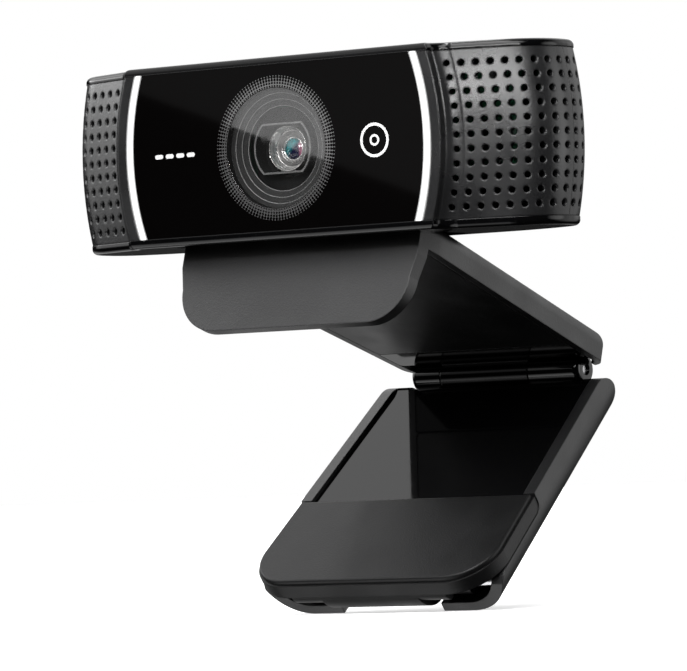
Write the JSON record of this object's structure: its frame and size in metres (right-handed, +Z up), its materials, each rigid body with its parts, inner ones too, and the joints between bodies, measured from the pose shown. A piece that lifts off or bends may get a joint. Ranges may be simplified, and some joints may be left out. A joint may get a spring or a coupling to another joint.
{
  "type": "webcam on folding monitor clip",
  "caption": "Wide webcam head with glossy front window, lit strips and perforated grilles, on a folding clip with a front lip, a hinged leg and a flip-out foot.",
  "frame": {"origin": "mouth of the tripod thread in the underside of the leg, on the plane of symmetry", "axes": "+Z up with the head level, +X along the head's width (to the right seen from the front), the lens looks along -Y"},
  "size_m": [0.094, 0.0658, 0.089],
  "materials": {
    "window_gloss": "high gloss black window",
    "lens_window_clear": "clear",
    "lit_strip": "white light pipe, lit",
    "grille_plastic": "fine textured satin",
    "gloss_black": "high gloss",
    "satin_black": "fine spark-eroded satin",
    "inner_black": "matte",
    "baffle_black": "fine ribbed matte",
    "barrel_metal": "satin",
    "coated_glass": "coated, teal and pink",
    "filter_glass": "infra-red cut coating",
    "board_green": "solder mask",
    "chip_black": "moulded package",
    "connector_white": "satin",
    "led_white": "clear",
    "rubber_black": "soft matte",
    "steel": "plated",
    "brass": "turned"
  },
  "bodies": {
    "leg": {"leg_shell": "satin_black", "leg_liner": "gloss_black", "tripod_insert": "brass", "hinge_pin": "steel", "hinge_washers": "steel", "liner_screws": "steel", "foot_pin": "steel"},
    "arm": {"arm_shell": "satin_black", "arm_panel": "satin_black", "lip_pad": "rubber_black", "hinge_cover": "gloss_black", "tilt_bracket": "steel", "tilt_pin": "steel", "tilt_washers": "steel", "bracket_screws": "steel"},
    "head": {"front_window": "window_gloss", "lens_window": "lens_window_clear", "light_pipe_left": "lit_strip", "light_pipe_right": "lit_strip", "grille_left": "grille_plastic", "grille_right": "grille_plastic", "front_bezel": "grille_plastic", "rear_housing": "grille_plastic", "top_cover": "gloss_black", "bottom_cover": "gloss_black", "chassis": "inner_black", "tilt_block": "inner_black", "focus_housing": "inner_black", "lens_baffle": "baffle_black", "ir_filter": "filter_glass", "main_board": "board_green", "image_sensor": "chip_black", "microphones": "chip_black", "board_connector": "connector_white", "status_leds": "led_white", "mic_boots": "rubber_black", "cable_grommet": "rubber_black", "board_screws": "steel"},
    "lens": {"lens_barrel": "barrel_metal", "lens_glass": "coated_glass"},
    "foot": {"foot_plate": "satin_black", "foot_pad": "rubber_black", "foot_carrier": "gloss_black"}
  },
  "joints": [
    {"name": "clip_hinge", "type": "hinge", "parent": "leg", "child": "arm", "pos_m": [0, 0.0101, 0.01959], "axis": [-1, 0, 0], "range_deg": [-44, 94]},
    {"name": "camera_tilt", "type": "hinge", "parent": "arm", "child": "head", "pos_m": [0, -0.0374, 0.04409], "axis": [1, 0, 0], "range_deg": [-10, 15]},
    {"name": "foot_flip", "type": "hinge", "parent": "leg", "child": "foot", "pos_m": [0, -0.02474, -0.01413], "axis": [1, 0, 0], "range_deg": [0, 86]},
    {"name": "lens_focus", "type": "slide", "parent": "head", "child": "lens", "axis": [0, -1, 0], "range_m": [0, 0.0003]}
  ]
}
